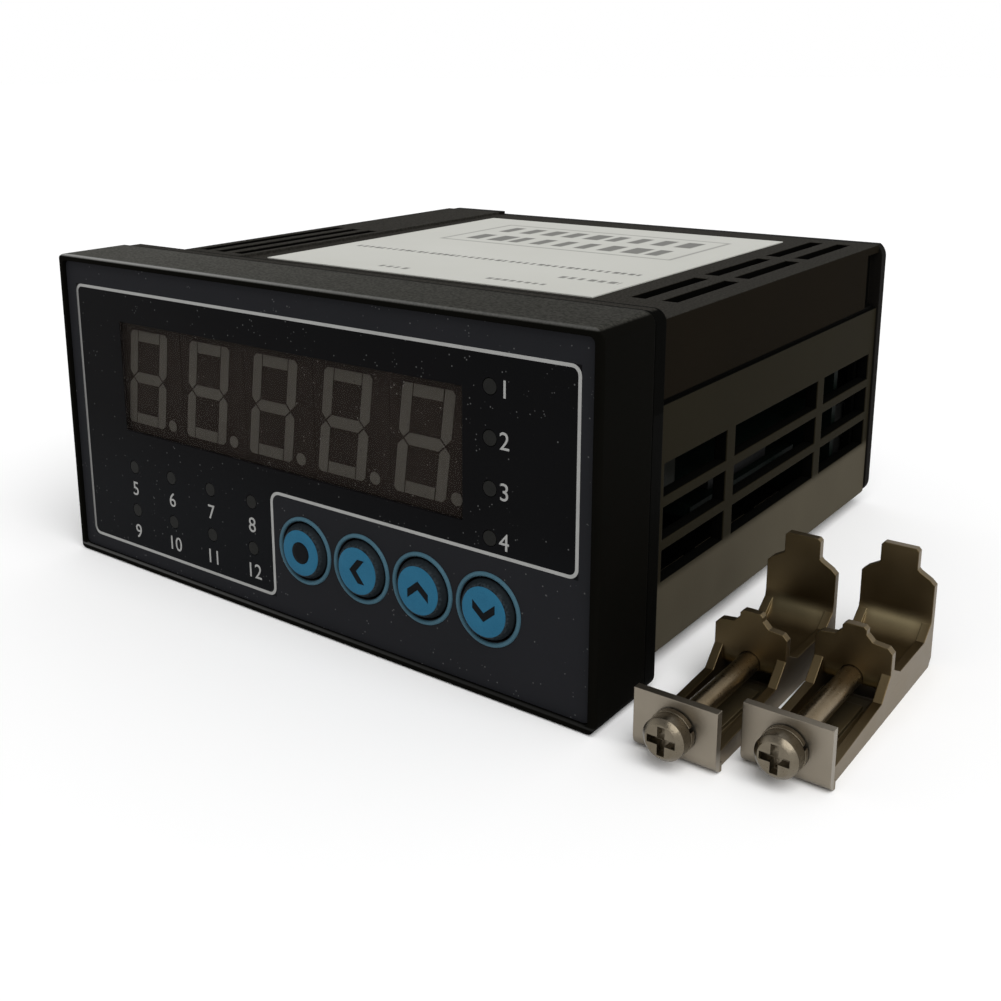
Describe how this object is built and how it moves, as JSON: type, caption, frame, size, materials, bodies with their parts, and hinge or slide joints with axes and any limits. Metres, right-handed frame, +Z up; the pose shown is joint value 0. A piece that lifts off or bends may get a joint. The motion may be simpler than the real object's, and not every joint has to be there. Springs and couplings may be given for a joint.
{
  "type": "weight indicator",
  "caption": "Panel-mount weight indicator with a segment display, round push keys, a slotted black case, rear screw terminals and loose mounting clamps.",
  "frame": {"origin": "centre of the panel cut-out, on the seat behind the front frame", "axes": "+X to the right seen from the front, +Y back through the panel, +Z up"},
  "size_m": [0.1214, 0.0979, 0.048],
  "materials": {
    "frame_plastic": "fine satin grain",
    "overlay_film": "satin printed film",
    "tinted_filter": "smooth dark tint",
    "digit_block": "matt face with milky segments",
    "led_lens": "unlit lens",
    "key_blue": "satin blue with a dark sign",
    "component_black": "moulded",
    "circuit_board": "green solder mask",
    "bright_metal": "zinc plated",
    "transformer_core": "varnished laminations",
    "relay_case": "moulded",
    "capacitor_sleeve": "shrink sleeve",
    "terminal_plastic": "moulded",
    "case_plastic": "satin grain",
    "label_paper": "printed paper",
    "clamp_metal": "satin nickel",
    "screw_metal": "nickel plated"
  },
  "bodies": {
    "indicator": {"bezel": "frame_plastic", "front_overlay": "overlay_film", "display_window": "tinted_filter", "status_leds": "led_lens", "tactile_switches": "component_black", "display_board": "circuit_board", "board_screws": "bright_metal", "main_board": "circuit_board", "adc_board": "circuit_board", "board_headers": "component_black", "transformer": "transformer_core", "relays": "relay_case", "capacitors": "capacitor_sleeve", "ic_packages": "component_black", "terminal_board": "circuit_board", "upper_terminal_block": "terminal_plastic", "lower_terminal_block": "terminal_plastic", "terminal_screws": "bright_metal", "terminal_washers": "bright_metal", "housing": "case_plastic", "rear_cover": "case_plastic", "top_label": "label_paper", "clamp_body_1": "clamp_metal", "clamp_body_2": "clamp_metal", "digit_1": "digit_block", "digit_2": "digit_block", "digit_3": "digit_block", "digit_4": "digit_block", "digit_5": "digit_block"},
    "key_menu": {"key_menu": "key_blue"},
    "key_left": {"key_left": "key_blue"},
    "key_up": {"key_up": "key_blue"},
    "key_down": {"key_down": "key_blue"},
    "clamp_screw_1": {"clamp_screw_1": "screw_metal", "clamp_washer_1": "screw_metal"},
    "clamp_screw_2": {"clamp_screw_2": "screw_metal", "clamp_washer_2": "screw_metal"}
  },
  "joints": [
    {"name": "key_menu_press", "type": "slide", "parent": "indicator", "child": "key_menu", "axis": [0, 1, 0], "range_m": [0, 0.0004], "stiffness_N_per_m": 500},
    {"name": "key_left_press", "type": "slide", "parent": "indicator", "child": "key_left", "axis": [0, 1, 0], "range_m": [0, 0.0004], "stiffness_N_per_m": 500},
    {"name": "key_up_press", "type": "slide", "parent": "indicator", "child": "key_up", "axis": [0, 1, 0], "range_m": [0, 0.0004], "stiffness_N_per_m": 500},
    {"name": "key_down_press", "type": "slide", "parent": "indicator", "child": "key_down", "axis": [0, 1, 0], "range_m": [0, 0.0004], "stiffness_N_per_m": 500},
    {"name": "clamp_screw_1_travel", "type": "slide", "parent": "indicator", "child": "clamp_screw_1", "axis": [0, -1, 0], "range_m": [0, 0.003]},
    {"name": "clamp_screw_2_travel", "type": "slide", "parent": "indicator", "child": "clamp_screw_2", "axis": [0, -1, 0], "range_m": [0, 0.003]}
  ]
}
